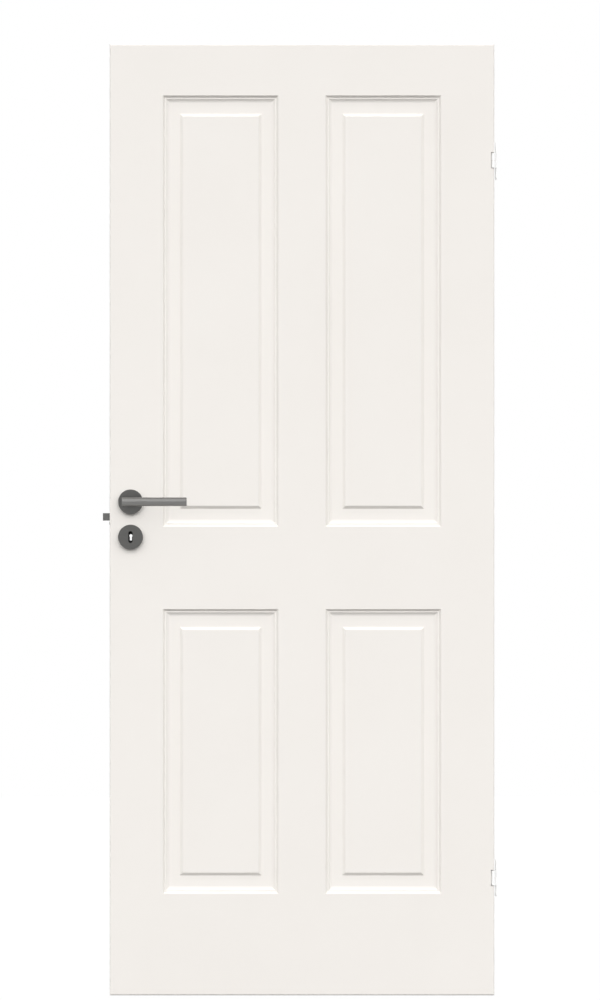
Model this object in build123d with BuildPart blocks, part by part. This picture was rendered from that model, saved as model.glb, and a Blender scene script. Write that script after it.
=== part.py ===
from build123d import *
import os

# Moulded four-panel door leaf with lever handles, a mortise lock and lift-off hinges.
# Millimetres. X runs from the lock edge to the hinge edge, Y from the opening side to the closing
# side, Z up. The origin is the middle of the leaf's bottom edge.

# Leaf
leaf_width = 825.0
leaf_height = 2040.0
leaf_thickness = 40.0
skin_thickness = 3.5
edge_radius = 3.0
stile_width = 30.0
rail_height = 34.0

# Panel layout, the same on both faces
side_margin = 114.0
mullion_width = 101.0
top_margin = 110.0
lock_rail_height = 176.5
lower_panel_height = 610.5
bottom_margin = 218.0

# Panel moulding, from a panel's outer edge inwards
slope_width = 4.4
slope_drop = 5.2
ledge_width = 3.0
cove_width = 8.4
recess_depth = 9.0
side_floor_width = 20.5
end_floor_width = 22.8
bevel_width = 6.3
field_depth = 4.0

# Places of the handle, latch, deadbolt and key
backset = 45.0
handle_height = 1058.5
latch_drop = 32.4
bolt_drop = 46.4
key_drop = 73.0
escutcheon_drop = 75.5

# Lever handles
bar_radius = 9.3
bar_length = 138.5
bar_tail = 17.4
bar_chamfer = 0.8
bar_reach = 48.0
neck_radius = 9.0
spindle_side = 8.0
spindle_reach = 30.0
socket_end_gap = 2.0
grub_radius = 2.4
grub_reach = 22.0
grub_sink = 1.0

# Roses and key escutcheons
rose_radius = 26.5
rose_height = 10.5
rose_wall = 1.2
rose_edge_radius = 1.0
base_web = 3.0
base_rim = 2.5
base_collar = 3.2
neck_hole_gap = 0.4
rose_screw_spacing = 34.5
key_screw_spacing = 36.4
rose_screw_shank_radius = 1.6
rose_screw_head_radius = 3.0
screw_tip_gap = 0.8
key_oval_width = 9.0
key_oval_height = 25.0
spindle_bore_radius = 11.0
key_bore_width = 14.0
key_bore_height = 30.0

# Lock case
case_wall = 1.5
case_thickness = 15.0
case_headroom = 10.5
case_footroom = 24.5
mortise_gap = 0.2
post_radius = 2.5
corner_post_radius = 3.0
corner_post_inset = 6.5
case_screw_shank_radius = 1.2
case_screw_head_radius = 2.3
case_screw_length = 6.0
faceplate_width = 20.0
faceplate_thickness = 2.5
faceplate_tab = 17.0
faceplate_screw_inset = 8.5
faceplate_screw_shank_radius = 1.8
faceplate_screw_head_radius = 3.6
faceplate_screw_length = 26.0
keyhole_radius = 3.5
keyhole_slot_width = 4.8
keyhole_slot_drop = 10.0

# Follower and latch
hub_radius = 10.5
journal_radius = 8.0
lobe_half_width = 3.5
lobe_length = 21.0
return_lobe_length = 19.0
latch_height = 16.0
latch_thickness = 11.6
latch_projection = 15.0
latch_nose = 3.0
latch_head_inside = 12.0
tail_thickness = 3.0
latch_tail_height = 14.0
arm_gap = 1.0
arm_width = 6.0
arm_end_gap = 0.5
hook_gap = 1.5
hook_rise = 10.5
post_gap = 1.5
post_play = 0.2

# Deadbolt
bolt_height = 6.6
bolt_thickness = 11.0
bolt_rest_projection = 1.0
bolt_throw = 10.0
bolt_head_inside = 16.0
bolt_key_clearance = 4.0
bolt_slot_rise = 11.0
bolt_tail_end = 5.0
talon_width = 9.0
talon_depth = 6.0

# Flat springs in the lock
spring_thickness = 0.6
spring_width = 6.0
spring_gap = 0.3
latch_spring_foot = 30.0
latch_spring_bend_radius = 20.0
follower_spring_reach = 15.0
follower_spring_bend_radius = 3.0
follower_spring_tip = 14.0

# Hinges
upper_hinge_drop = 249.3
lower_hinge_rise = 251.6
hinge_axis_inset = 1.6
hinge_axis_depth = 3.0
barrel_radius = 5.0
knuckle_length = 15.4
knuckle_cap = 2.0
pin_radius = 3.0
bearing_ring_thickness = 0.8
bearing_ring_margin = 0.3
notch_gap = 0.5
notch_end_gap = 1.8
edge_gap = 3.0
plate_thickness = 2.5
plate_height = 80.0
plate_width = 26.0
plate_corner_radius = 4.0
plate_gap = 0.1
tongue_inset = 0.8
hinge_screw_spacing_y = 13.0
leaf_screw_spacing_z = 58.0
jamb_screw_spacing_z = 50.0
hinge_screw_shank_radius = 2.1
hinge_screw_head_radius = 3.6
hinge_screw_length = 28.0

# Fits and cuts
fit_gap = 0.15
running_gap = 0.05
seat_gap = 0.02
screw_gap = 0.1
countersink_angle = 90.0
overrun = 5.0

# Leaf places
half_width = leaf_width / 2
front_face = -leaf_thickness / 2
core_thickness = leaf_thickness - 2 * skin_thickness
core_front = -core_thickness / 2
infill_width = leaf_width - 2 * stile_width
infill_height = leaf_height - 2 * rail_height
panel_width = (leaf_width - 2 * side_margin - mullion_width) / 2
upper_panel_bottom = bottom_margin + lower_panel_height + lock_rail_height
upper_panel_height = leaf_height - top_margin - upper_panel_bottom
panel_x = (mullion_width + panel_width) / 2
lower_panel_z = bottom_margin + lower_panel_height / 2
upper_panel_z = upper_panel_bottom + upper_panel_height / 2
cove_inset = slope_width + ledge_width + cove_width
side_inset = cove_inset + side_floor_width
end_inset = cove_inset + end_floor_width

# Lock places
spindle_x = backset - half_width
latch_z = handle_height - latch_drop
bolt_z = handle_height - bolt_drop
key_z = handle_height - key_drop
escutcheon_z = handle_height - escutcheon_drop
case_front_x = faceplate_thickness - half_width
arm_left_x = spindle_x + hub_radius + arm_gap
arm_right_x = arm_left_x + arm_width
case_inner_back_x = arm_right_x + latch_projection + arm_end_gap
case_back_x = case_inner_back_x + case_wall
case_depth = case_back_x - case_front_x
case_inner_top = handle_height + lobe_length + case_headroom
case_inner_bottom = key_z - keyhole_slot_drop - case_footroom
case_height = case_inner_top - case_inner_bottom + 2 * case_wall
case_mid_x = (case_front_x + case_back_x) / 2
case_mid_z = (case_inner_top + case_inner_bottom) / 2
case_inner_front = case_wall - case_thickness / 2
case_inner_thickness = case_thickness - 2 * case_wall
faceplate_height = case_height + 2 * faceplate_tab
faceplate_screw_spacing = faceplate_height - 2 * faceplate_screw_inset
mortise_thickness = case_thickness + 2 * mortise_gap
latch_head_rear_x = case_front_x + latch_head_inside
latch_post_x = latch_head_rear_x + latch_projection + post_gap + post_radius
bolt_head_rear_x = case_front_x + bolt_head_inside
bolt_tail_bottom = key_z + keyhole_radius + bolt_key_clearance
bolt_post_x = bolt_head_rear_x + post_gap + post_radius
bolt_post_z = bolt_tail_bottom + bolt_slot_rise
corner_posts_x = (case_front_x + corner_post_inset, case_inner_back_x - corner_post_inset)
corner_posts_z = (case_inner_bottom + corner_post_inset, case_inner_top - corner_post_inset)
corner_posts = [(x, z) for x in corner_posts_x for z in corner_posts_z]

# Handle places
bar_axis_y = front_face - bar_reach
spindle_end_y = front_face - spindle_reach
base_height = rose_height - rose_wall - fit_gap
base_radius = rose_radius - rose_wall - fit_gap
base_bore_radius = neck_radius + running_gap
rose_screws_z = (handle_height - rose_screw_spacing / 2, handle_height + rose_screw_spacing / 2)
key_screws_z = (escutcheon_z - key_screw_spacing / 2, escutcheon_z + key_screw_spacing / 2)
screw_head_y = front_face - base_web
rose_screw_length = -screw_head_y - mortise_thickness / 2 - screw_tip_gap

# Hinge places
hinge_axis_x = half_width - hinge_axis_inset
hinge_axis_y = front_face + hinge_axis_depth
notch_width = hinge_axis_inset + barrel_radius + notch_gap
notch_back_y = hinge_axis_y + barrel_radius + notch_gap
barrel_length = 2 * knuckle_length + bearing_ring_thickness
notch_height = barrel_length + 2 * notch_end_gap
leaf_plate_x = half_width - plate_thickness
jamb_face_x = half_width + edge_gap
plate_mid_y = notch_back_y + plate_width / 2
hinge_heights = {"upper": leaf_height - upper_hinge_drop, "lower": lower_hinge_rise}

from_corner = (Align.MIN, Align.MIN)


def front_plane(y):
    """A plane across the leaf at depth y, seen from the front: X to the right and Z up."""
    return Plane.XZ.offset(-y)


def recess_section(span):
    """A cut across a panel's hollow: mouth on the local x axis, depth along local y."""
    rim = span / 2
    with BuildSketch() as section:
        with BuildLine():
            slope = Line((-rim, 0), (slope_width - rim, slope_drop))
            ledge = Line(slope @ 1, (slope_width + ledge_width - rim, slope_drop))
            recess_floor = Line((cove_inset - rim, recess_depth), (0, recess_depth))
            TangentArc(recess_floor @ 0, ledge @ 1, tangent=(-1, 0))
            mirror(about=Plane.YZ)
            Line((-rim, 0), (rim, 0))
        make_face()
    return section.sketch


def panel_recess(height):
    """One panel's hollow, with mitred corners round its raised field, its mouth at y = 0."""
    foot_width = panel_width - 2 * side_inset
    foot_height = height - 2 * end_inset
    with BuildPart() as recess:
        with BuildSketch(Plane.XY):
            add(recess_section(panel_width))
        extrude(amount=height / 2, both=True)
        with BuildSketch(Plane.ZY):
            add(recess_section(height))
        extrude(amount=panel_width / 2, both=True, mode=Mode.INTERSECT)
        with BuildSketch(front_plane(recess_depth)):
            Rectangle(foot_width, foot_height)
        with BuildSketch(front_plane(field_depth)):
            Rectangle(foot_width - 2 * bevel_width, foot_height - 2 * bevel_width)
        loft(ruled=True, mode=Mode.SUBTRACT)
    return recess.part


def countersunk_screw(shank_radius, head_radius, length):
    """A pointed screw along -Z, the top of its head in the XY plane."""
    with BuildPart() as screw:
        with BuildSketch(Plane.XZ):
            with BuildLine():
                Polyline(
                    (0, 0),
                    (head_radius, 0),
                    (shank_radius, shank_radius - head_radius),
                    (shank_radius, shank_radius - length),
                    (0, -length),
                    close=True,
                )
            make_face()
        revolve(axis=Axis.Z)
    return screw.part


def keyhole_sketch():
    """The keyhole's outline about its round part's middle."""
    with BuildSketch() as outline:
        Circle(keyhole_radius)
        with Locations((0, -keyhole_slot_drop)):
            Rectangle(keyhole_slot_width, keyhole_slot_drop, align=(Align.CENTER, Align.MIN))
    return outline.sketch


# Holes through both faces for the spindle, the key and the screws of roses and escutcheons
with BuildPart() as lock_bores:
    with BuildSketch(front_plane(leaf_thickness / 2 + overrun)):
        with Locations((spindle_x, handle_height)):
            Circle(spindle_bore_radius)
        with Locations((spindle_x, escutcheon_z)):
            SlotOverall(key_bore_height, key_bore_width, rotation=90)
        with Locations(*[(spindle_x, z) for z in rose_screws_z + key_screws_z]):
            Circle(rose_screw_shank_radius + screw_gap)
    extrude(amount=leaf_thickness + 2 * overrun)

# The slot in the lock edge that takes the lock case
with BuildPart() as lock_mortise:
    with BuildSketch(front_plane(mortise_thickness / 2)):
        with Locations((case_front_x, case_mid_z)):
            Rectangle(
                case_depth + mortise_gap,
                case_height + 2 * mortise_gap,
                align=(Align.MIN, Align.CENTER),
            )
    extrude(amount=mortise_thickness)

# Notches for the hinge barrels, open to the front and to the hinge edge
with BuildPart() as hinge_notches:
    for hinge_z in hinge_heights.values():
        with BuildSketch(front_plane(notch_back_y)):
            with Locations((half_width - notch_width, hinge_z)):
                Rectangle(notch_width + overrun, notch_height, align=(Align.MIN, Align.CENTER))
        extrude(amount=notch_back_y - front_face + overrun)

upper_recess = panel_recess(upper_panel_height)
lower_recess = panel_recess(lower_panel_height)

# Moulded skin of one face: a pressed sheet of even thickness that follows the panels
with BuildPart() as moulded_skin:
    with BuildSketch(front_plane(core_front)):
        Rectangle(leaf_width, leaf_height, align=(Align.CENTER, Align.MIN))
    extrude(amount=skin_thickness)
    fillet(moulded_skin.faces().sort_by(Axis.Y)[0].edges(), radius=edge_radius)
    for recess, z in ((upper_recess, upper_panel_z), (lower_recess, lower_panel_z)):
        with Locations((-panel_x, core_front, z), (panel_x, core_front, z)):
            add(recess)
        with Locations((-panel_x, front_face, z), (panel_x, front_face, z)):
            add(recess, mode=Mode.SUBTRACT)
    add(lock_bores.part, mode=Mode.SUBTRACT)

with BuildPart() as front_skin:
    add(moulded_skin.part)
    add(hinge_notches.part, mode=Mode.SUBTRACT)

with BuildPart() as rear_skin:
    mirror(moulded_skin.part, about=Plane.XZ)

# Timber frame between the skins
with BuildPart() as lock_stile:
    with BuildSketch(front_plane(core_thickness / 2)):
        with Locations((-half_width, 0)):
            Rectangle(stile_width, leaf_height, align=from_corner)
    extrude(amount=core_thickness)
    add(lock_mortise.part, mode=Mode.SUBTRACT)
    add(lock_bores.part, mode=Mode.SUBTRACT)
    with BuildSketch(Plane.YZ.offset(-half_width)):
        with Locations((0, case_mid_z)):
            SlotOverall(faceplate_height + 2 * plate_gap, faceplate_width + 2 * plate_gap, rotation=90)
    extrude(amount=faceplate_thickness, mode=Mode.SUBTRACT)
    with BuildSketch(Plane.YZ.offset(-half_width)):
        with Locations((0, case_mid_z)):
            with GridLocations(0, faceplate_screw_spacing, 1, 2):
                Circle(faceplate_screw_shank_radius + screw_gap)
    extrude(amount=faceplate_screw_length + screw_gap, mode=Mode.SUBTRACT)

with BuildPart() as hinge_stile:
    with BuildSketch(front_plane(core_thickness / 2)):
        with Locations((half_width - stile_width, 0)):
            Rectangle(stile_width, leaf_height, align=from_corner)
    extrude(amount=core_thickness)
    add(hinge_notches.part, mode=Mode.SUBTRACT)
    for hinge_z in hinge_heights.values():
        with BuildSketch(Plane.YZ.offset(leaf_plate_x)):
            with Locations((plate_mid_y, hinge_z)):
                RectangleRounded(
                    plate_width + 2 * plate_gap,
                    plate_height + 2 * plate_gap,
                    plate_corner_radius + plate_gap,
                )
        extrude(amount=plate_thickness + overrun, mode=Mode.SUBTRACT)
        with BuildSketch(Plane.YZ.offset(half_width)):
            with Locations((plate_mid_y, hinge_z)):
                with GridLocations(hinge_screw_spacing_y, leaf_screw_spacing_z, 2, 2):
                    Circle(hinge_screw_shank_radius + screw_gap)
        extrude(amount=-hinge_screw_length - screw_gap, mode=Mode.SUBTRACT)

with BuildPart() as bottom_rail:
    with BuildSketch(front_plane(core_thickness / 2)):
        Rectangle(infill_width, rail_height, align=(Align.CENTER, Align.MIN))
    extrude(amount=core_thickness)

with BuildPart() as top_rail:
    with BuildSketch(front_plane(core_thickness / 2)):
        with Locations((0, leaf_height)):
            Rectangle(infill_width, rail_height, align=(Align.CENTER, Align.MAX))
    extrude(amount=core_thickness)

# Core board, cleared on both faces for the backs of the panels
with BuildPart() as core_board:
    with BuildSketch(front_plane(core_thickness / 2)):
        with Locations((0, rail_height)):
            Rectangle(infill_width, infill_height, align=(Align.CENTER, Align.MIN))
    extrude(amount=core_thickness)
    with BuildSketch(front_plane(core_front + recess_depth + fit_gap)) as panel_beds:
        for height, z in ((upper_panel_height, upper_panel_z), (lower_panel_height, lower_panel_z)):
            with Locations((-panel_x, z), (panel_x, z)):
                Rectangle(panel_width, height)
    extrude(amount=recess_depth + fit_gap, mode=Mode.SUBTRACT)
    with BuildSketch(front_plane(core_thickness / 2)):
        add(panel_beds.sketch_local)
    extrude(amount=recess_depth + fit_gap, mode=Mode.SUBTRACT)
    add(lock_mortise.part, mode=Mode.SUBTRACT)
    add(lock_bores.part, mode=Mode.SUBTRACT)

# Lock case: a tray with posts, closed by a cover on the front side and by the faceplate
with BuildPart() as lock_case:
    with BuildSketch(front_plane(case_thickness / 2)):
        with Locations((case_mid_x, case_mid_z)):
            Rectangle(case_depth, case_height)
    extrude(amount=case_thickness - case_wall)
    with BuildSketch(front_plane(case_thickness / 2 - case_wall)):
        with Locations((case_front_x, case_mid_z)):
            Rectangle(
                case_depth - case_wall,
                case_height - 2 * case_wall,
                align=(Align.MIN, Align.CENTER),
            )
    extrude(amount=case_inner_thickness, mode=Mode.SUBTRACT)
    with BuildSketch(front_plane(case_thickness / 2 - case_wall)):
        with Locations((latch_post_x, latch_z), (bolt_post_x, bolt_post_z)):
            Circle(post_radius)
        with Locations(*corner_posts):
            Circle(corner_post_radius)
    extrude(amount=case_inner_thickness)
    with BuildSketch(front_plane(case_inner_front + case_screw_length)):
        with Locations(*corner_posts):
            Circle(case_screw_shank_radius + screw_gap)
    extrude(amount=case_screw_length, mode=Mode.SUBTRACT)
    with BuildSketch(front_plane(case_thickness / 2)):
        with Locations((spindle_x, handle_height)):
            Circle(journal_radius + running_gap)
        with Locations((spindle_x, key_z)):
            add(keyhole_sketch())
    extrude(amount=case_wall, mode=Mode.SUBTRACT)

with BuildPart() as lock_case_cover:
    with BuildSketch(front_plane(case_inner_front)):
        with Locations((case_mid_x, case_mid_z)):
            Rectangle(case_depth, case_height)
        with Locations((spindle_x, handle_height)):
            Circle(journal_radius + running_gap, mode=Mode.SUBTRACT)
        with Locations((spindle_x, key_z)):
            add(keyhole_sketch(), mode=Mode.SUBTRACT)
    extrude(amount=case_wall)
    with Locations(*[Plane((x, -case_thickness / 2, z), z_dir=(0, -1, 0)) for x, z in corner_posts]):
        CounterSinkHole(
            case_screw_shank_radius + screw_gap,
            case_screw_head_radius + screw_gap,
            counter_sink_angle=countersink_angle,
        )

case_screw = countersunk_screw(case_screw_shank_radius, case_screw_head_radius, case_screw_length)
with BuildPart() as case_screws:
    with Locations(*[Plane((x, -case_thickness / 2, z), z_dir=(0, -1, 0)) for x, z in corner_posts]):
        add(case_screw)

with BuildPart() as lock_faceplate:
    with BuildSketch(Plane.YZ.offset(-half_width)):
        with Locations((0, case_mid_z)):
            SlotOverall(faceplate_height, faceplate_width, rotation=90)
        with Locations((0, latch_z)):
            Rectangle(latch_thickness + 2 * fit_gap, latch_height + 2 * fit_gap, mode=Mode.SUBTRACT)
        with Locations((0, bolt_z)):
            Rectangle(bolt_thickness + 2 * fit_gap, bolt_height + 2 * fit_gap, mode=Mode.SUBTRACT)
    extrude(amount=faceplate_thickness)
    with Locations(Plane((-half_width, 0, case_mid_z), x_dir=(0, -1, 0), z_dir=(-1, 0, 0))):
        with GridLocations(0, faceplate_screw_spacing, 1, 2):
            CounterSinkHole(
                faceplate_screw_shank_radius + screw_gap,
                faceplate_screw_head_radius + screw_gap,
                counter_sink_angle=countersink_angle,
            )

faceplate_screw = countersunk_screw(
    faceplate_screw_shank_radius, faceplate_screw_head_radius, faceplate_screw_length
)
with BuildPart() as faceplate_screws:
    with Locations(Plane((-half_width, 0, case_mid_z), x_dir=(0, -1, 0), z_dir=(-1, 0, 0))):
        with GridLocations(0, faceplate_screw_spacing, 1, 2):
            add(faceplate_screw)

# Follower: the hub that the spindle turns, with a lobe for the latch and one for the spring
with BuildPart() as follower:
    with BuildSketch(front_plane(latch_thickness / 2)):
        with Locations((spindle_x, handle_height)):
            Circle(hub_radius)
            Rectangle(2 * lobe_half_width, lobe_length, align=(Align.CENTER, Align.MIN))
            Rectangle(return_lobe_length, 2 * lobe_half_width, align=(Align.MAX, Align.CENTER))
    extrude(amount=latch_thickness)
    with BuildSketch(front_plane(case_thickness / 2)):
        with Locations((spindle_x, handle_height)):
            Circle(journal_radius)
    extrude(amount=case_thickness)
    with BuildSketch(front_plane(case_thickness / 2)):
        with Locations((spindle_x, handle_height)):
            Rectangle(spindle_side + 2 * running_gap, spindle_side + 2 * running_gap)
    extrude(amount=case_thickness, mode=Mode.SUBTRACT)

with BuildPart() as spindle:
    with BuildSketch(front_plane(-spindle_end_y)):
        with Locations((spindle_x, handle_height)):
            Rectangle(spindle_side, spindle_side)
    extrude(amount=-2 * spindle_end_y)

# Latch bolt: bevelled head, and a tail that slides on a post and hooks round the follower
with BuildPart() as latch_bolt:
    with BuildSketch(Plane.XY.offset(latch_z - latch_height / 2)):
        with BuildLine():
            Polyline(
                (-half_width - latch_projection, -latch_thickness / 2),
                (-half_width - latch_projection, latch_nose - latch_thickness / 2),
                (-half_width, latch_thickness / 2),
                (latch_head_rear_x, latch_thickness / 2),
                (latch_head_rear_x, -latch_thickness / 2),
                close=True,
            )
        make_face()
    extrude(amount=latch_height)
    with BuildSketch(front_plane(tail_thickness / 2)):
        tail_bottom = latch_z - latch_tail_height / 2
        hook_left_x = spindle_x + lobe_half_width + hook_gap
        hook_bottom = handle_height + hook_rise
        hook_top = handle_height + lobe_length
        with Locations((latch_head_rear_x, tail_bottom)):
            Rectangle(arm_right_x - latch_head_rear_x, latch_tail_height, align=from_corner)
        with Locations((arm_left_x, tail_bottom)):
            Rectangle(arm_width, hook_top - tail_bottom, align=from_corner)
        with Locations((hook_left_x, hook_bottom)):
            Rectangle(arm_right_x - hook_left_x, hook_top - hook_bottom, align=from_corner)
        with Locations((latch_post_x - latch_projection / 2, latch_z)):
            SlotCenterToCenter(latch_projection, 2 * (post_radius + post_play), mode=Mode.SUBTRACT)
    extrude(amount=tail_thickness)

# Deadbolt: head behind the faceplate, and a tail with the notch that the key's bit turns in
with BuildPart() as deadbolt:
    with BuildSketch(front_plane(bolt_thickness / 2)):
        with Locations((-half_width - bolt_rest_projection, bolt_z)):
            Rectangle(
                bolt_head_rear_x + half_width + bolt_rest_projection,
                bolt_height,
                align=(Align.MIN, Align.CENTER),
            )
    extrude(amount=bolt_thickness)
    with BuildSketch(front_plane(tail_thickness / 2)):
        bolt_tail_left_x = case_front_x + bolt_throw + post_gap
        bolt_tail_right_x = spindle_x + talon_width / 2 + bolt_tail_end
        bolt_tail_top = bolt_z + bolt_height / 2
        with Locations((bolt_tail_left_x, bolt_tail_bottom)):
            Rectangle(
                bolt_tail_right_x - bolt_tail_left_x,
                bolt_tail_top - bolt_tail_bottom,
                align=from_corner,
            )
        with Locations((spindle_x, bolt_tail_bottom)):
            Rectangle(talon_width, talon_depth, align=(Align.CENTER, Align.MIN), mode=Mode.SUBTRACT)
        with Locations((bolt_post_x + bolt_throw / 2, bolt_post_z)):
            SlotCenterToCenter(bolt_throw, 2 * (post_radius + post_play), mode=Mode.SUBTRACT)
    extrude(amount=tail_thickness)

# Flat springs: one behind the latch's arm, one folded above the follower's second lobe
with BuildPart() as latch_spring:
    with BuildSketch(front_plane(spring_width / 2)):
        with BuildLine():
            foot_x = case_inner_back_x - spring_gap - spring_thickness / 2
            tip_x = arm_right_x + spring_gap + spring_thickness
            FilletPolyline(
                (foot_x, case_inner_bottom + spring_gap),
                (foot_x, case_inner_bottom + latch_spring_foot),
                (tip_x, latch_z + latch_tail_height / 2),
                radius=latch_spring_bend_radius,
            )
        trace(line_width=spring_thickness)
    extrude(amount=spring_width)

with BuildPart() as follower_spring:
    with BuildSketch(front_plane(spring_width / 2)):
        with BuildLine():
            lobe_top = handle_height + lobe_half_width + spring_gap + spring_thickness
            case_top = case_inner_top - spring_gap - spring_thickness
            leg_end_x = spindle_x - follower_spring_tip
            FilletPolyline(
                (leg_end_x, lobe_top),
                (leg_end_x - follower_spring_reach, (lobe_top + case_top) / 2),
                (leg_end_x, case_top),
                radius=follower_spring_bend_radius,
            )
        trace(line_width=spring_thickness)
    extrude(amount=spring_width)

# Lever handle: a round bar across a round neck, with a square socket and a grub screw hole
with BuildPart() as front_lever:
    with BuildSketch(Plane.YZ.offset(spindle_x - bar_tail)):
        with Locations((bar_axis_y, handle_height)):
            Circle(bar_radius)
    extrude(amount=bar_length)
    chamfer(front_lever.edges().filter_by(GeomType.CIRCLE), length=bar_chamfer)
    with BuildSketch(front_plane(front_face - fit_gap)):
        with Locations((spindle_x, handle_height)):
            Circle(neck_radius)
    extrude(amount=bar_reach - fit_gap)
    with BuildSketch(front_plane(front_face - fit_gap)):
        with Locations((spindle_x, handle_height)):
            Rectangle(spindle_side + 2 * running_gap, spindle_side + 2 * running_gap)
    extrude(amount=spindle_reach + socket_end_gap - fit_gap, mode=Mode.SUBTRACT)
    with BuildSketch(Plane.XY.offset(handle_height - neck_radius - overrun)):
        with Locations((spindle_x, front_face - grub_reach)):
            Circle(grub_radius + seat_gap)
    extrude(amount=neck_radius + overrun, mode=Mode.SUBTRACT)

with BuildPart() as rear_lever:
    mirror(front_lever.part, about=Plane.XZ)

with BuildPart() as lever_grub_screws:
    with BuildSketch(Plane.XY.offset(handle_height - neck_radius + grub_sink)):
        with Locations((spindle_x, front_face - grub_reach), (spindle_x, grub_reach - front_face)):
            Circle(grub_radius)
    extrude(amount=neck_radius - grub_sink - spindle_side / 2)


def pressed_cover(center_z):
    """A round cover pressed from sheet, its rim on the front face."""
    with BuildPart() as cover:
        with BuildSketch(front_plane(front_face)):
            with Locations((spindle_x, center_z)):
                Circle(rose_radius)
        extrude(amount=rose_height)
        fillet(cover.edges().group_by(Axis.Y)[0], radius=rose_edge_radius)
        with BuildSketch(front_plane(front_face)):
            with Locations((spindle_x, center_z)):
                Circle(rose_radius - rose_wall)
        extrude(amount=rose_height - rose_wall, mode=Mode.SUBTRACT)
    return cover.part


def fixing_base(center_z, screws_z):
    """A round base that is screwed to the front face and carries a cover on its rim."""
    with BuildPart() as base:
        with BuildSketch(front_plane(front_face)):
            with Locations((spindle_x, center_z)):
                Circle(base_radius)
        extrude(amount=base_height)
        with BuildSketch(front_plane(screw_head_y)):
            with Locations((spindle_x, center_z)):
                Circle(base_radius - base_rim)
        extrude(amount=base_height - base_web, mode=Mode.SUBTRACT)
        with Locations(*[Plane((spindle_x, screw_head_y, z), z_dir=(0, -1, 0)) for z in screws_z]):
            CounterSinkHole(
                rose_screw_shank_radius + screw_gap,
                rose_screw_head_radius + screw_gap,
                counter_sink_angle=countersink_angle,
            )
    return base.part


# Rose: the cover round the lever's neck, and the base with the collar that the neck turns in
with BuildPart() as front_rose_cover:
    add(pressed_cover(handle_height))
    with BuildSketch(front_plane(front_face)):
        with Locations((spindle_x, handle_height)):
            Circle(neck_radius + neck_hole_gap)
    extrude(amount=rose_height, mode=Mode.SUBTRACT)

with BuildPart() as front_rose_base:
    add(fixing_base(handle_height, rose_screws_z))
    with BuildSketch(front_plane(front_face)):
        with Locations((spindle_x, handle_height)):
            Circle(base_bore_radius + base_collar)
    extrude(amount=base_height)
    with BuildSketch(front_plane(front_face)):
        with Locations((spindle_x, handle_height)):
            Circle(base_bore_radius)
    extrude(amount=base_height, mode=Mode.SUBTRACT)

# Key escutcheon: the cover with its oval opening, and its base
with BuildPart() as front_key_escutcheon:
    add(pressed_cover(escutcheon_z))
    with BuildSketch(front_plane(front_face)):
        with Locations((spindle_x, escutcheon_z)):
            SlotOverall(key_oval_height, key_oval_width, rotation=90)
    extrude(amount=rose_height, mode=Mode.SUBTRACT)

with BuildPart() as front_key_base:
    add(fixing_base(escutcheon_z, key_screws_z))
    with BuildSketch(front_plane(front_face)):
        with Locations((spindle_x, escutcheon_z)):
            SlotOverall(key_bore_height, key_bore_width, rotation=90)
    extrude(amount=base_height, mode=Mode.SUBTRACT)

with BuildPart() as rear_rose_cover:
    mirror(front_rose_cover.part, about=Plane.XZ)

with BuildPart() as rear_rose_base:
    mirror(front_rose_base.part, about=Plane.XZ)

with BuildPart() as rear_key_escutcheon:
    mirror(front_key_escutcheon.part, about=Plane.XZ)

with BuildPart() as rear_key_base:
    mirror(front_key_base.part, about=Plane.XZ)

rose_screw = countersunk_screw(rose_screw_shank_radius, rose_screw_head_radius, rose_screw_length)
with BuildPart() as rose_screws:
    for side in (-1, 1):
        heads = [Plane((spindle_x, -side * screw_head_y, z), z_dir=(0, side, 0)) for z in rose_screws_z]
        with Locations(*heads):
            add(rose_screw)

with BuildPart() as key_escutcheon_screws:
    for side in (-1, 1):
        heads = [Plane((spindle_x, -side * screw_head_y, z), z_dir=(0, side, 0)) for z in key_screws_z]
        with Locations(*heads):
            add(rose_screw)


def hinge_plate(back_x, hinge_z):
    """A hinge plate with rounded corners that stands on the plane x = back_x."""
    with BuildPart() as plate:
        with BuildSketch(Plane.YZ.offset(back_x)):
            with Locations((plate_mid_y, hinge_z)):
                RectangleRounded(plate_width, plate_height, plate_corner_radius)
        extrude(amount=plate_thickness)
    return plate.part


# Leaf half of a hinge: a plate let into the stile, and the upper knuckle on its tongue
def leaf_hinge(hinge_z):
    knuckle_bottom = hinge_z + bearing_ring_thickness / 2
    with BuildPart() as hinge:
        add(hinge_plate(leaf_plate_x, hinge_z))
        with BuildSketch(Plane.XY.offset(knuckle_bottom)):
            with Locations((hinge_axis_x, hinge_axis_y)):
                Circle(barrel_radius)
            with Locations((leaf_plate_x, hinge_axis_y)):
                Rectangle(plate_thickness, plate_mid_y - hinge_axis_y, align=from_corner)
        extrude(amount=knuckle_length)
        with BuildSketch(Plane.XY.offset(knuckle_bottom)):
            with Locations((hinge_axis_x, hinge_axis_y)):
                Circle(pin_radius + running_gap)
        extrude(amount=knuckle_length - knuckle_cap, mode=Mode.SUBTRACT)
        with Locations(Plane((half_width, plate_mid_y, hinge_z), x_dir=(0, 1, 0), z_dir=(1, 0, 0))):
            with GridLocations(hinge_screw_spacing_y, leaf_screw_spacing_z, 2, 2):
                CounterSinkHole(
                    hinge_screw_shank_radius + screw_gap,
                    hinge_screw_head_radius + screw_gap,
                    depth=plate_thickness,
                    counter_sink_angle=countersink_angle,
                )
    return hinge


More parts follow.
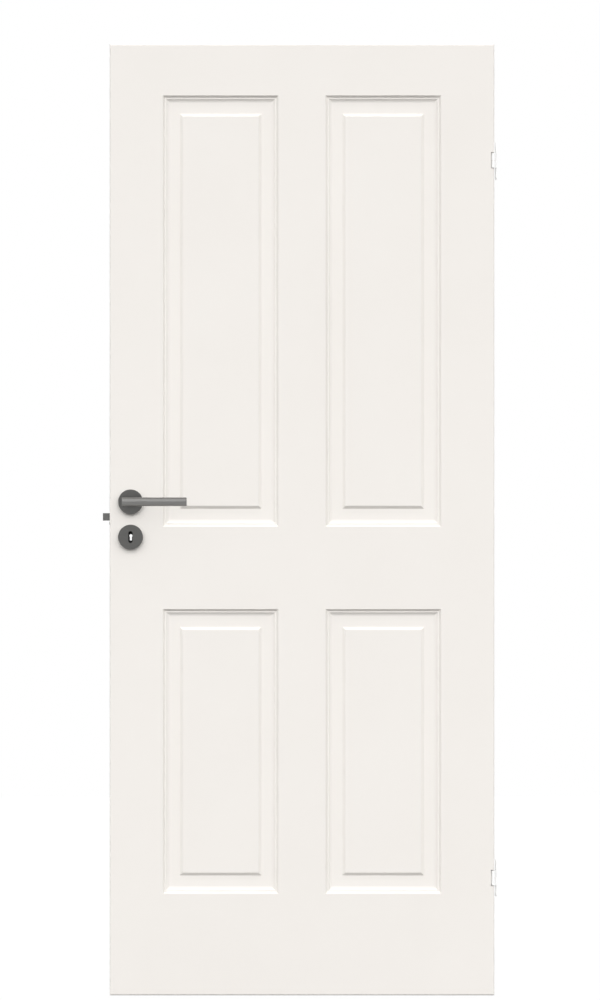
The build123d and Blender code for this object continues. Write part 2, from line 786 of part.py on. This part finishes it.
# Frame half of a hinge: a plate that faces the leaf's edge, and the lower knuckle on its tongue
def jamb_hinge(hinge_z):
    knuckle_bottom = hinge_z - barrel_length / 2
    tongue_front_y = hinge_axis_y + tongue_inset
    tongue_depth = barrel_radius - 2 * tongue_inset
    with BuildPart() as hinge:
        add(hinge_plate(jamb_face_x, hinge_z))
        with BuildSketch(Plane.XY.offset(knuckle_bottom)):
            with Locations((hinge_axis_x, hinge_axis_y)):
                Circle(barrel_radius)
            with Locations((hinge_axis_x, tongue_front_y)):
                Rectangle(jamb_face_x + plate_thickness - hinge_axis_x, tongue_depth, align=from_corner)
            with Locations((jamb_face_x, tongue_front_y)):
                Rectangle(plate_thickness, plate_mid_y - tongue_front_y, align=from_corner)
        extrude(amount=knuckle_length)
        with BuildSketch(Plane.XY.offset(knuckle_bottom)):
            with Locations((hinge_axis_x, hinge_axis_y)):
                Circle(pin_radius + seat_gap)
        extrude(amount=knuckle_length, mode=Mode.SUBTRACT)
        with Locations(Plane((jamb_face_x, plate_mid_y, hinge_z), x_dir=(0, -1, 0), z_dir=(-1, 0, 0))):
            with GridLocations(hinge_screw_spacing_y, jamb_screw_spacing_z, 2, 2):
                CounterSinkHole(
                    hinge_screw_shank_radius + screw_gap,
                    hinge_screw_head_radius + screw_gap,
                    depth=plate_thickness,
                    counter_sink_angle=countersink_angle,
                )
    return hinge


def hinge_pin(hinge_z):
    with BuildPart() as pin:
        with BuildSketch(Plane.XY.offset(hinge_z - barrel_length / 2)):
            with Locations((hinge_axis_x, hinge_axis_y)):
                Circle(pin_radius)
        extrude(amount=barrel_length - knuckle_cap - seat_gap)
    return pin


with BuildPart() as hinge_bearing_rings:
    for hinge_z in hinge_heights.values():
        with BuildSketch(Plane.XY.offset(hinge_z - bearing_ring_thickness / 2)):
            with Locations((hinge_axis_x, hinge_axis_y)):
                Circle(barrel_radius - bearing_ring_margin)
                Circle(pin_radius + running_gap, mode=Mode.SUBTRACT)
        extrude(amount=bearing_ring_thickness)

hinge_screw = countersunk_screw(hinge_screw_shank_radius, hinge_screw_head_radius, hinge_screw_length)
with BuildPart() as leaf_hinge_screws:
    for hinge_z in hinge_heights.values():
        with Locations(Plane((half_width, plate_mid_y, hinge_z), x_dir=(0, 1, 0), z_dir=(1, 0, 0))):
            with GridLocations(hinge_screw_spacing_y, leaf_screw_spacing_z, 2, 2):
                add(hinge_screw)

pieces = {
    "front_skin": front_skin,
    "rear_skin": rear_skin,
    "lock_stile": lock_stile,
    "hinge_stile": hinge_stile,
    "top_rail": top_rail,
    "bottom_rail": bottom_rail,
    "core_board": core_board,
    "lock_case": lock_case,
    "lock_case_cover": lock_case_cover,
    "case_screws": case_screws,
    "lock_faceplate": lock_faceplate,
    "faceplate_screws": faceplate_screws,
    "follower": follower,
    "spindle": spindle,
    "latch_bolt": latch_bolt,
    "deadbolt": deadbolt,
    "latch_spring": latch_spring,
    "follower_spring": follower_spring,
    "front_lever": front_lever,
    "rear_lever": rear_lever,
    "lever_grub_screws": lever_grub_screws,
    "front_rose_cover": front_rose_cover,
    "rear_rose_cover": rear_rose_cover,
    "front_rose_base": front_rose_base,
    "rear_rose_base": rear_rose_base,
    "rose_screws": rose_screws,
    "front_key_escutcheon": front_key_escutcheon,
    "rear_key_escutcheon": rear_key_escutcheon,
    "front_key_base": front_key_base,
    "rear_key_base": rear_key_base,
    "key_escutcheon_screws": key_escutcheon_screws,
    "hinge_bearing_rings": hinge_bearing_rings,
    "leaf_hinge_screws": leaf_hinge_screws,
}
for place, hinge_z in hinge_heights.items():
    pieces[place + "_leaf_hinge"] = leaf_hinge(hinge_z)
    pieces[place + "_jamb_hinge"] = jamb_hinge(hinge_z)
    pieces[place + "_hinge_pin"] = hinge_pin(hinge_z)

os.makedirs("parts", exist_ok=True)
for name, piece in pieces.items():
    piece.part.label = name
    export_step(piece.part, f"parts/{name}.step")
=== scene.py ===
import math
from collections import namedtuple

import bmesh
import bpy
from mathutils import Matrix, Vector


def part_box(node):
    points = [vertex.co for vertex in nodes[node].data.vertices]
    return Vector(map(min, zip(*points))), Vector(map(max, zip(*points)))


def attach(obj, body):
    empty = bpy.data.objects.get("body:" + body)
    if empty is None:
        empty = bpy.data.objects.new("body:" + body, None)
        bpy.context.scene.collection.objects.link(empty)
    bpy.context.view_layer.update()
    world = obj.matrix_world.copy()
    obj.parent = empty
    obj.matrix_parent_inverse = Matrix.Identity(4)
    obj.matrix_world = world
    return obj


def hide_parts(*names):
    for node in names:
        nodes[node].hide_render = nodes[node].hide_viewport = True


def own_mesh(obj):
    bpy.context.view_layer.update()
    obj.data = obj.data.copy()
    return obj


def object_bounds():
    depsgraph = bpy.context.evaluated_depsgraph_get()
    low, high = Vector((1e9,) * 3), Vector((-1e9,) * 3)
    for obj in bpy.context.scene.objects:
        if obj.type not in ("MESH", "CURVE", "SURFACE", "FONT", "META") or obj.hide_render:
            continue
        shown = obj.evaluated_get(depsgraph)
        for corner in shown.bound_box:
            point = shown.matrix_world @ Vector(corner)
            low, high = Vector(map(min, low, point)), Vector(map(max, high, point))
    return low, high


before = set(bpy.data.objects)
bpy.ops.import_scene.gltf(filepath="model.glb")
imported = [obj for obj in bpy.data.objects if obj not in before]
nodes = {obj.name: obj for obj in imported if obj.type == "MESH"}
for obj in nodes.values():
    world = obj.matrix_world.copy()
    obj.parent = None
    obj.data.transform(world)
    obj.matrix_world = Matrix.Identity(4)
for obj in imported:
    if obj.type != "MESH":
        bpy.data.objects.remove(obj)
cad_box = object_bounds()
scene = bpy.context.scene

# Camera: square on to the front face, far back
IMAGE_WIDTH = 600
IMAGE_HEIGHT = 1000
LEAF_EDGES_PX = (109.5, 494.5)
LEAF_ENDS_PX = (44.5, 995.0)
CAMERA_DISTANCE = 12.0
SENSOR_SIZE = 36.0

# Light, where 1 is the level at which a colour renders as it is written
SKY_LEVEL = 0.60
GROUND_LEVEL = 0.08
HORIZON_HEIGHT = 0.15
KEY_LEVEL = 0.302
KEY_SIDE_LEVEL = 0.187
KEY_SIDE_TURN = math.radians(45)
KEY_ELEVATION = math.radians(27)
KEY_SPREAD = math.radians(54)
KEY_LAMPS = (
    ("key", KEY_LEVEL, 0.0),
    ("left_key", KEY_SIDE_LEVEL, -KEY_SIDE_TURN),
    ("right_key", KEY_SIDE_LEVEL, KEY_SIDE_TURN),
)
HIGH_LEVEL = 0.215
HIGH_ELEVATION = math.radians(45)
HIGH_SPREAD = math.radians(70)
FRONT_SHARE = 1.0
REAR_SHARE = 0.90
WHITE = (1.0, 1.0, 1.0, 1.0)

# Floor
FLOOR_HALF_SIZE = 8.0
FLOOR_GREY = (0.12, 0.12, 0.12, 1.0)
FLOOR_PALE = (0.80, 0.80, 0.80, 1.0)
FLOOR_WHITE_SHARE = 0.90

# A finish: the two linear colours that a pattern mixes, and the shader's own values
Finish = namedtuple("Finish", "colour shade roughness metallic specular", defaults=(0.5,))
PAINT = Finish((0.885, 0.852, 0.812), (0.872, 0.838, 0.797), 0.42, 0.0, specular=0.25)
TIMBER_PAINT = PAINT._replace(roughness=0.44)
LEVER_STEEL = Finish((0.240, 0.237, 0.230), (0.190, 0.188, 0.182), 0.34, 1.0)
ROSE_STEEL = Finish((0.138, 0.137, 0.133), (0.112, 0.111, 0.107), 0.40, 1.0)
LOCK_STEEL = Finish((0.30, 0.30, 0.29), (0.22, 0.22, 0.21), 0.34, 1.0)
BOLT_STEEL = Finish((0.180, 0.179, 0.174), (0.136, 0.135, 0.131), 0.36, 1.0)
# Lock case near black: painted shade for the inside seen through the keyhole oval, on a dark case finish
CASE_BLACK_AS_SHADE = Finish((0.012, 0.012, 0.012), (0.022, 0.021, 0.020), 0.50, 1.0)
SPRING_BLUE = Finish((0.10, 0.11, 0.15), (0.19, 0.16, 0.11), 0.30, 1.0)
ZINC = Finish((0.95, 0.95, 0.94), (0.91, 0.91, 0.90), 0.42, 0.5)
BLACK_NYLON = Finish((0.030, 0.030, 0.032), (0.020, 0.020, 0.021), 0.50, 0.0)
WHITE_NYLON = Finish((0.84, 0.82, 0.78), (0.80, 0.78, 0.74), 0.50, 0.0)
CHIPBOARD = Finish((0.56, 0.42, 0.26), (0.30, 0.20, 0.11), 0.85, 0.0)

# A texture: its pattern, how far it lowers and raises the roughness, and its relief, lengths in metres
Texture = namedtuple("Texture", "scale detail smoother rougher strength depth edge_radius")
ORANGE_PEEL = Texture(
    scale=650.0, detail=2.0, smoother=0.03, rougher=0.04,
    strength=0.35, depth=0.00004, edge_radius=0.0002,
)
TIMBER_GRAIN = Texture(
    scale=420.0, detail=5.0, smoother=0.04, rougher=0.06,
    strength=0.50, depth=0.00008, edge_radius=0.0005,
)
BRUSH_LINES = Texture(
    scale=900.0, detail=4.0, smoother=0.06, rougher=0.08,
    strength=0.25, depth=0.00003, edge_radius=0.0003,
)
LATHE_RINGS = Texture(
    scale=2600.0, detail=3.0, smoother=0.05, rougher=0.07,
    strength=0.20, depth=0.00003, edge_radius=0.0003,
)
PLATING = Texture(
    scale=260.0, detail=4.0, smoother=0.06, rougher=0.08,
    strength=0.20, depth=0.00004, edge_radius=0.0004,
)
NYLON_GRAIN = Texture(
    scale=1400.0, detail=3.0, smoother=0.06, rougher=0.06,
    strength=0.30, depth=0.00005, edge_radius=0.0,
)
PAINT_CLOUD_SCALE = 5.0
PAINT_CLOUD_DETAIL = 4.0
CHIP_SCALE = 240.0
CHIP_SHADES_SCALE = 3.0
CHIP_SHADES_DETAIL = 2.0
CHIP_STRENGTH = 0.6
CHIP_DEPTH = 0.0003

# The middle range of a noise pattern, which is spread out to its full range
PATTERN_LOW = 0.3
PATTERN_HIGH = 0.7

# Stretch of a pattern: drawn out along an axis with a small value, pressed together along a large one
NO_STRETCH = (1.0, 1.0, 1.0)
TIMBER_STRETCH = (1.0, 1.0, 0.02)
LEVER_STRETCH = (0.03, 1.0, 1.0)
LOCK_STRETCH = (1.0, 1.0, 0.03)
BOLT_STRETCH = (0.05, 1.0, 1.0)
CHIP_STRETCH = (1.0, 2.4, 1.0)

# Screw recesses: shares of the head's radius, and lengths in metres
CROSS_WIDTH_SHARE = 0.26
CROSS_REACH_SHARE = 0.56
CROSS_BOTTOM_SHARE = 0.45
CROSS_DEPTH_SHARE = 0.50
HEX_SHARE = 0.62
HEX_DEPTH = 0.0016
WELD_DISTANCE = 0.000001


def add_node(tree, kind, **inputs):
    """A shader node with some of its sockets set."""
    node = tree.nodes.new(kind)
    for name, value in inputs.items():
        node.inputs[name.replace("_", " ")].default_value = value
    return node


def new_material(name, finish):
    """A principled material: itself, its tree and its shader."""
    material = bpy.data.materials.new(name)
    material.use_nodes = True
    shader = material.node_tree.nodes["Principled BSDF"]
    shader.inputs["Roughness"].default_value = finish.roughness
    shader.inputs["Metallic"].default_value = finish.metallic
    shader.inputs["Specular IOR Level"].default_value = finish.specular
    return material, material.node_tree, shader


def surface_point(tree, stretch=NO_STRETCH):
    """The point on the surface in the part's own frame, in metres, stretched along the axes."""
    coordinates = add_node(tree, "ShaderNodeTexCoord")
    mapping = add_node(tree, "ShaderNodeMapping", Scale=stretch)
    tree.links.new(coordinates.outputs["Object"], mapping.inputs["Vector"])
    return mapping.outputs["Vector"]


def noise(tree, vector, scale, detail):
    """A cloudy pattern over a vector."""
    node = add_node(tree, "ShaderNodeTexNoise", Scale=scale, Detail=detail)
    tree.links.new(vector, node.inputs["Vector"])
    return node.outputs["Fac"]


def vector_step(tree, operation, vector, operand=(0.0, 0.0, 0.0)):
    """A node that works on a vector with a fixed one."""
    node = add_node(tree, "ShaderNodeVectorMath")
    node.operation = operation
    node.inputs[1].default_value = operand
    tree.links.new(vector, node.inputs[0])
    return node


def mix_colours(tree, shader, pattern, finish):
    """Mixes the two colours of a finish by a pattern."""
    ramp = add_node(tree, "ShaderNodeValToRGB")
    ramp.color_ramp.elements[0].position = PATTERN_LOW
    ramp.color_ramp.elements[1].position = PATTERN_HIGH
    ramp.color_ramp.elements[0].color = (*finish.shade, 1.0)
    ramp.color_ramp.elements[1].color = (*finish.colour, 1.0)
    tree.links.new(pattern, ramp.inputs["Fac"])
    tree.links.new(ramp.outputs["Color"], shader.inputs["Base Color"])


def vary_roughness(tree, shader, pattern, finish, texture):
    """Lowers and raises the roughness of a finish by a pattern."""
    spread = add_node(
        tree,
        "ShaderNodeMapRange",
        From_Min=PATTERN_LOW,
        From_Max=PATTERN_HIGH,
        To_Min=finish.roughness - texture.smoother,
        To_Max=finish.roughness + texture.rougher,
    )
    tree.links.new(pattern, spread.inputs["Value"])
    tree.links.new(spread.outputs["Result"], shader.inputs["Roughness"])


def relief(tree, shader, height, strength, depth, edge_radius=0.0):
    """Bump of a given depth in metres, over edges that are rounded off by edge_radius."""
    bump = add_node(tree, "ShaderNodeBump", Strength=strength, Distance=depth)
    tree.links.new(height, bump.inputs["Height"])
    if edge_radius:
        edge = add_node(tree, "ShaderNodeBevel", Radius=edge_radius)
        tree.links.new(edge.outputs["Normal"], bump.inputs["Normal"])
    tree.links.new(bump.outputs["Normal"], shader.inputs["Normal"])


def grain_surface(tree, shader, pattern, finish, texture):
    """Lets one pattern vary the roughness and raise the surface."""
    vary_roughness(tree, shader, pattern, finish, texture)
    relief(tree, shader, pattern, texture.strength, texture.depth, texture.edge_radius)


def patterned_material(name, finish, texture, stretch=NO_STRETCH):
    """A material whose colour, roughness and relief follow one pattern."""
    material, tree, shader = new_material(name, finish)
    pattern = noise(tree, surface_point(tree, stretch), texture.scale, texture.detail)
    mix_colours(tree, shader, pattern, finish)
    grain_surface(tree, shader, pattern, finish, texture)
    return material


def sprayed_paint():
    """Satin lacquer on the moulded skins: even, with a fine orange peel."""
    material, tree, shader = new_material("sprayed_paint", PAINT)
    cloud = noise(tree, surface_point(tree), PAINT_CLOUD_SCALE, PAINT_CLOUD_DETAIL)
    mix_colours(tree, shader, cloud, PAINT)
    peel = noise(tree, surface_point(tree), ORANGE_PEEL.scale, ORANGE_PEEL.detail)
    grain_surface(tree, shader, peel, PAINT, ORANGE_PEEL)
    return material


def turned_metal(name, finish, center):
    """Metal turned on a lathe: fine rings about the Y axis through center."""
    material, tree, shader = new_material(name, finish)
    shifted = vector_step(tree, "SUBTRACT", surface_point(tree), center).outputs["Vector"]
    flat = vector_step(tree, "MULTIPLY", shifted, (1.0, 0.0, 1.0)).outputs["Vector"]
    radius = vector_step(tree, "LENGTH", flat).outputs["Value"]
    rings = add_node(tree, "ShaderNodeTexNoise", Scale=LATHE_RINGS.scale, Detail=LATHE_RINGS.detail)
    rings.noise_dimensions = "1D"
    tree.links.new(radius, rings.inputs["W"])
    mix_colours(tree, shader, rings.outputs["Fac"], finish)
    grain_surface(tree, shader, rings.outputs["Fac"], finish, LATHE_RINGS)
    return material


def chipboard():
    """Flat chips, each in a shade of its own."""
    material, tree, shader = new_material("chipboard", CHIPBOARD)
    chips = add_node(tree, "ShaderNodeTexVoronoi", Scale=CHIP_SCALE)
    tree.links.new(surface_point(tree, CHIP_STRETCH), chips.inputs["Vector"])
    shades = noise(tree, chips.outputs["Color"], CHIP_SHADES_SCALE, CHIP_SHADES_DETAIL)
    mix_colours(tree, shader, shades, CHIPBOARD)
    relief(tree, shader, chips.outputs["Distance"], CHIP_STRENGTH, CHIP_DEPTH)
    return material


def middle(node):
    """The middle of a node's box."""
    low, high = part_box(node)
    return (low + high) / 2


def dress(material, *names):
    """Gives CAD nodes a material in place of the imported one."""
    for name in names:
        slots = nodes[name].data.materials
        slots.clear()
        slots.append(material)


def islands(mesh):
    """The groups of vertices that edges join, one per separate solid."""
    bm = bmesh.new()
    bm.from_mesh(mesh)
    seen = set()
    groups = []
    for start in bm.verts:
        if start in seen:
            continue
        group = []
        stack = [start]
        seen.add(start)
        while stack:
            vert = stack.pop()
            group.append(vert.co.copy())
            for edge in vert.link_edges:
                other = edge.other_vert(vert)
                if other not in seen:
                    seen.add(other)
                    stack.append(other)
        groups.append(group)
    bm.free()
    return groups


def cut_recesses(name, node, body, outward, cutter_shape, material):
    """A copy of a node of screws with a driver's recess cut into the head of each."""
    mesh = nodes[node].data.copy()
    welded = bmesh.new()
    welded.from_mesh(mesh)
    bmesh.ops.remove_doubles(welded, verts=welded.verts, dist=WELD_DISTANCE)
    welded.to_mesh(mesh)
    welded.free()
    direction = Vector(outward)
    cutters = bmesh.new()
    for group in islands(mesh):
        reach = max(point.dot(direction) for point in group)
        low = Vector([min(point[axis] for point in group) for axis in range(3)])
        high = Vector([max(point[axis] for point in group) for axis in range(3)])
        center = (low + high) / 2
        head = center + direction * (reach - center.dot(direction))
        across = [high[axis] - low[axis] for axis in range(3) if direction[axis] == 0]
        turn = direction.to_track_quat("Z", "Y").to_matrix().to_4x4()
        cutter_shape(cutters, Matrix.Translation(head) @ turn, min(across) / 2)
    cutter_mesh = bpy.data.meshes.new(name + "_cutters")
    cutters.to_mesh(cutter_mesh)
    cutters.free()
    cutter = bpy.data.objects.new(name + "_cutters", cutter_mesh)
    piece = bpy.data.objects.new(name, mesh)
    scene.collection.objects.link(cutter)
    scene.collection.objects.link(piece)
    cut = piece.modifiers.new("recess", "BOOLEAN")
    cut.operation = "DIFFERENCE"
    cut.solver = "EXACT"
    cut.object = cutter
    bpy.context.view_layer.update()
    evaluated = piece.evaluated_get(bpy.context.evaluated_depsgraph_get())
    result = bpy.data.meshes.new_from_object(evaluated)
    piece.modifiers.clear()
    piece.data = result
    bpy.data.objects.remove(cutter)
    bpy.data.meshes.remove(cutter_mesh)
    piece.data.materials.clear()
    piece.data.materials.append(material)
    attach(piece, body)
    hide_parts(node)
    return piece


def cross_cutter(bm, matrix, radius):
    """A cross-shaped plug, at its full reach in the face of the head and narrower at its bottom."""
    reach = radius * CROSS_REACH_SHARE
    half_width = radius * CROSS_WIDTH_SHARE / 2
    depth = radius * CROSS_DEPTH_SHARE
    rings = []
    for height, share in ((-depth, CROSS_BOTTOM_SHARE), (depth, 2 - CROSS_BOTTOM_SHARE)):
        arm = reach * share
        ring = []
        for quarter in range(4):
            turn = matrix @ Matrix.Rotation(quarter * math.pi / 2, 4, "Z")
            for x, y in ((arm, -half_width), (arm, half_width), (half_width, half_width)):
                ring.append(bm.verts.new(turn @ Vector((x, y, height))))
        rings.append(ring)
    lower, upper = rings
    bm.faces.new(lower[::-1])
    bm.faces.new(upper)
    for index in range(len(lower)):
        before = index - 1
        bm.faces.new((lower[before], lower[index], upper[index], upper[before]))


def hex_cutter(bm, matrix, radius):
    """A six-sided plug."""
    bmesh.ops.create_cone(
        bm,
        cap_ends=True,
        segments=6,
        radius1=radius * HEX_SHARE,
        radius2=radius * HEX_SHARE,
        depth=2 * HEX_DEPTH,
        matrix=matrix,
    )


def pressed_spring():
    """A copy of the flat spring behind the latch, carried with the leaf."""
    piece = bpy.data.objects.new("latch_leaf_spring", nodes["latch_spring"].data.copy())
    scene.collection.objects.link(piece)
    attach(piece, "leaf")
    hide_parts("latch_spring")
    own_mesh(piece)


def seen_directly(tree):
    """1 for what is seen, also in a mirror or through glass, and 0 for the light on things."""
    path = add_node(tree, "ShaderNodeLightPath")
    sight = path.outputs["Is Camera Ray"]
    for ray in ("Is Glossy Ray", "Is Transmission Ray"):
        either = add_node(tree, "ShaderNodeMath")
        either.operation = "MAXIMUM"
        tree.links.new(sight, either.inputs[0])
        tree.links.new(path.outputs[ray], either.inputs[1])
        sight = either.outputs["Value"]
    return sight


def mix_shaders(tree, factor, first, second):
    """Mixes two shaders by a fixed share or by another node's output."""
    mix = add_node(tree, "ShaderNodeMixShader")
    if isinstance(factor, float):
        mix.inputs["Fac"].default_value = factor
    else:
        tree.links.new(factor, mix.inputs["Fac"])
    tree.links.new(first, mix.inputs[1])
    tree.links.new(second, mix.inputs[2])
    return mix.outputs["Shader"]


def studio_world():
    """White to look at, and a soft fill, mostly from above, for the light that falls on things."""
    world = bpy.data.worlds.new("studio")
    scene.world = world
    world.use_nodes = True
    tree = world.node_tree
    tree.nodes.clear()
    fill = add_node(tree, "ShaderNodeBackground", Color=WHITE)
    coordinates = add_node(tree, "ShaderNodeTexCoord")
    direction = add_node(tree, "ShaderNodeSeparateXYZ")
    tree.links.new(coordinates.outputs["Generated"], direction.inputs["Vector"])
    level = add_node(
        tree,
        "ShaderNodeMapRange",
        From_Min=0.0,
        From_Max=HORIZON_HEIGHT,
        To_Min=GROUND_LEVEL,
        To_Max=SKY_LEVEL,
    )
    tree.links.new(direction.outputs["Z"], level.inputs["Value"])
    tree.links.new(level.outputs["Result"], fill.inputs["Strength"])
    white = add_node(tree, "ShaderNodeBackground", Color=WHITE, Strength=1.0)
    shown = mix_shaders(
        tree, seen_directly(tree), fill.outputs["Background"], white.outputs["Background"]
    )
    output = add_node(tree, "ShaderNodeOutputWorld")
    tree.links.new(shown, output.inputs["Surface"])


def soft_lamp(name, level, elevation, azimuth, spread):
    """A wide, distant lamp. Azimuth 0 is straight in front of the door."""
    lamp = bpy.data.lights.new(name, "SUN")
    lamp.energy = level * math.pi
    lamp.angle = spread
    lamp_object = bpy.data.objects.new(name, lamp)
    lamp_object.rotation_euler = (math.pi / 2 - elevation, 0.0, azimuth)
    scene.collection.objects.link(lamp_object)
    return lamp_object


def leave_shadow_out(lamp_object, *names):
    """Keeps the shadows of some nodes out of a lamp's light."""
    blockers = bpy.data.collections.new(lamp_object.name + "_blockers")
    lamp_object.light_linking.blocker_collection = blockers
    for name in names:
        blockers.objects.link(nodes[name])
    for member in blockers.collection_objects:
        member.light_linking.link_state = "EXCLUDE"


def studio_lamps():
    """Lamps in front of the door and weaker ones behind it, without the shadow of that side's lever."""
    for side, share, azimuth in (("front", FRONT_SHARE, 0.0), ("rear", REAR_SHARE, math.pi)):
        lamps = [soft_lamp(side + "_high", HIGH_LEVEL * share, HIGH_ELEVATION, azimuth, HIGH_SPREAD)]
        for name, level, turn in KEY_LAMPS:
            key_lamp = soft_lamp(f"{side}_{name}", level * share, KEY_ELEVATION, azimuth + turn, KEY_SPREAD)
            key_lamp.visible_glossy = False
            lamps.append(key_lamp)
        for lamp in lamps:
            leave_shadow_out(lamp, side + "_lever")


def pale_floor():
    """A floor that looks white and keeps a faint shadow, and throws little light back up."""
    mesh = bpy.data.meshes.new("floor")
    size = FLOOR_HALF_SIZE
    level = cad_box[0][2]
    corners = [(-size, -size, level), (size, -size, level), (size, size, level), (-size, size, level)]
    mesh.from_pydata(corners, [], [(0, 1, 2, 3)])
    material = bpy.data.materials.new("floor")
    material.use_nodes = True
    tree = material.node_tree
    tree.nodes.clear()
    grey = add_node(tree, "ShaderNodeBsdfDiffuse", Color=FLOOR_GREY)
    pale = add_node(tree, "ShaderNodeBsdfDiffuse", Color=FLOOR_PALE)
    white = add_node(tree, "ShaderNodeEmission", Color=WHITE, Strength=1.0)
    look = mix_shaders(tree, FLOOR_WHITE_SHARE, pale.outputs["BSDF"], white.outputs["Emission"])
    shown = mix_shaders(tree, seen_directly(tree), grey.outputs["BSDF"], look)
    output = add_node(tree, "ShaderNodeOutputMaterial")
    tree.links.new(shown, output.inputs["Surface"])
    mesh.materials.append(material)
    floor = bpy.data.objects.new("floor", mesh)
    scene.collection.objects.link(floor)


def front_camera():
    """A camera that puts the leaf's four edges where they are in the picture."""
    leaf_low, leaf_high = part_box("front_skin")
    left_px, right_px = LEAF_EDGES_PX
    top_px, bottom_px = LEAF_ENDS_PX
    metre_px_x = (right_px - left_px) / (leaf_high.x - leaf_low.x)
    metre_px_z = (bottom_px - top_px) / (leaf_high.z - leaf_low.z)
    metre_px = (metre_px_x + metre_px_z) / 2
    center_x = (leaf_low.x + leaf_high.x) / 2 + (IMAGE_WIDTH - left_px - right_px) / 2 / metre_px
    center_z = (leaf_low.z + leaf_high.z) / 2 + (top_px + bottom_px - IMAGE_HEIGHT) / 2 / metre_px
    camera = bpy.data.cameras.new("camera")
    camera.sensor_width = SENSOR_SIZE
    camera.lens = SENSOR_SIZE * CAMERA_DISTANCE * metre_px / IMAGE_HEIGHT
    camera_object = bpy.data.objects.new("camera", camera)
    camera_object.location = (center_x, leaf_low.y - CAMERA_DISTANCE, center_z)
    camera_object.rotation_euler = (math.pi / 2, 0.0, 0.0)
    scene.collection.objects.link(camera_object)
    scene.camera = camera_object


# Materials
paint = sprayed_paint()
timber = patterned_material("painted_timber", TIMBER_PAINT, TIMBER_GRAIN, TIMBER_STRETCH)
lever_steel = patterned_material("brushed_lever", LEVER_STEEL, BRUSH_LINES, LEVER_STRETCH)
lock_steel = patterned_material("satin_lock_steel", LOCK_STEEL, BRUSH_LINES, LOCK_STRETCH)
bolt_steel = patterned_material("bolt_steel", BOLT_STEEL, BRUSH_LINES, BOLT_STRETCH)
# Near-black case material: painted shade inside the keyhole oval
case_black_as_shade = patterned_material("case_painted_shade_black", CASE_BLACK_AS_SHADE, PLATING)
spring_steel = patterned_material("blued_spring", SPRING_BLUE, PLATING)
hinge_zinc = patterned_material("bright_zinc", ZINC, PLATING)
base_nylon = patterned_material("black_nylon", BLACK_NYLON, NYLON_GRAIN)
ring_nylon = patterned_material("white_nylon", WHITE_NYLON, NYLON_GRAIN)

dress(paint, "front_skin", "rear_skin")
dress(timber, "lock_stile", "hinge_stile", "top_rail", "bottom_rail")
dress(chipboard(), "core_board")
dress(lever_steel, "front_lever", "rear_lever")
for cover in ("rose_cover", "key_escutcheon"):
    for side in ("front", "rear"):
        name = f"{side}_{cover}"
        dress(turned_metal("turned_" + name, ROSE_STEEL, middle(name)), name)
dress(lock_steel, "lock_faceplate", "faceplate_screws", "spindle", "lever_grub_screws")
dress(lock_steel, "rose_screws", "key_escutcheon_screws", "case_screws", "follower")
# The lock case and its cover are near black: painted shade inside the keyhole oval
dress(case_black_as_shade, "lock_case", "lock_case_cover")
dress(bolt_steel, "latch_bolt", "deadbolt")
dress(spring_steel, "latch_spring", "follower_spring")
for end in ("upper", "lower"):
    for hinge_part in ("leaf_hinge", "jamb_hinge", "hinge_pin"):
        dress(hinge_zinc, f"{end}_{hinge_part}")
dress(hinge_zinc, "leaf_hinge_screws")
dress(base_nylon, "front_rose_base", "rear_rose_base", "front_key_base", "rear_key_base")
dress(ring_nylon, "hinge_bearing_rings")

# Screws with driver recesses
hinge_heads = cut_recesses(
    "hinge_screw_set", "leaf_hinge_screws", "leaf", (1, 0, 0), cross_cutter, hinge_zinc
)
plate_heads = cut_recesses(
    "faceplate_screw_set", "faceplate_screws", "leaf", (-1, 0, 0), cross_cutter, lock_steel
)
grub_heads = cut_recesses(
    "grub_screw_set", "lever_grub_screws", "lever_set", (0, 0, -1), hex_cutter, lock_steel
)

# Spring, studio and camera
pressed_spring()
studio_world()
studio_lamps()
pale_floor()
front_camera()
scene.view_settings.view_transform = "Standard"
